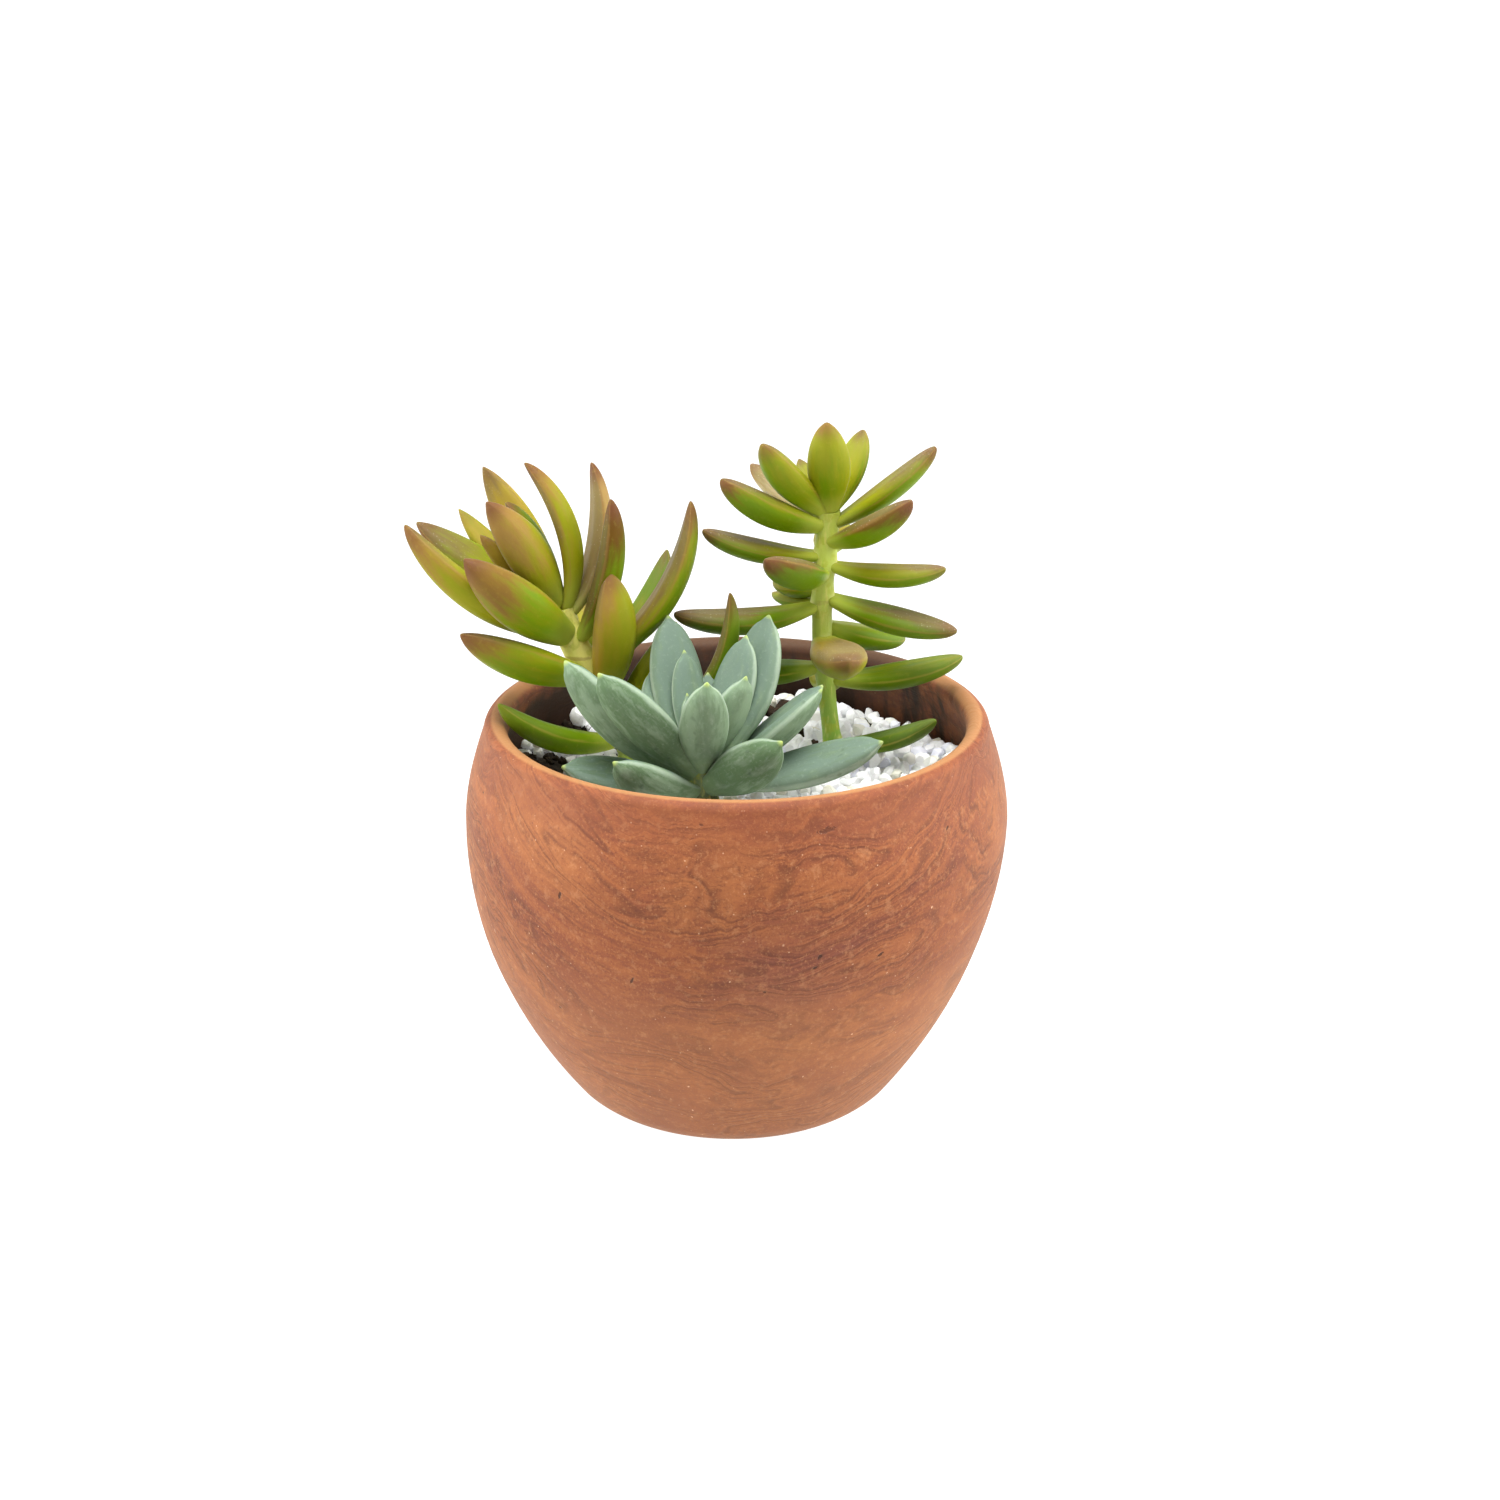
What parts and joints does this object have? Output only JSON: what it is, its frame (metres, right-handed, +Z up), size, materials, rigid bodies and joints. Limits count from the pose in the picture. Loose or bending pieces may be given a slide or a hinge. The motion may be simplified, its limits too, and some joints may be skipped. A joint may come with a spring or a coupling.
{
  "type": "succulent dish garden",
  "caption": "Round-bellied terracotta bowl filled with soil under pale gravel, planted with tall leafy succulent shoots and a low blue-green rosette.",
  "frame": {"origin": "centre of the bowl's flat foot, on the surface that it stands on", "axes": "+Z up along the bowl's axis; -Y towards the side where the rosette stands; +X to the right seen from there"},
  "size_m": [0.1421, 0.13, 0.1684],
  "materials": {
    "clay": "unglazed terracotta, orange brown with darker red marbling, matte",
    "soil": "dark loose potting soil with bark, matte",
    "gravel": "white crushed quartz, matte with a faint sheen",
    "golden_leaves": "fleshy living leaf, olive and golden green with brown tips, satin",
    "green_leaves": "fleshy living leaf, lime green with brown tips, satin",
    "blue_leaves": "fleshy living leaf, powdery grey blue-green with yellow-green tips, matte"
  },
  "bodies": {
    "root": {"bowl": "clay", "soil": "soil", "gravel": "gravel", "tall_sedum": "golden_leaves", "right_sedum": "green_leaves", "blue_rosette": "blue_leaves"}
  },
  "joints": []
}
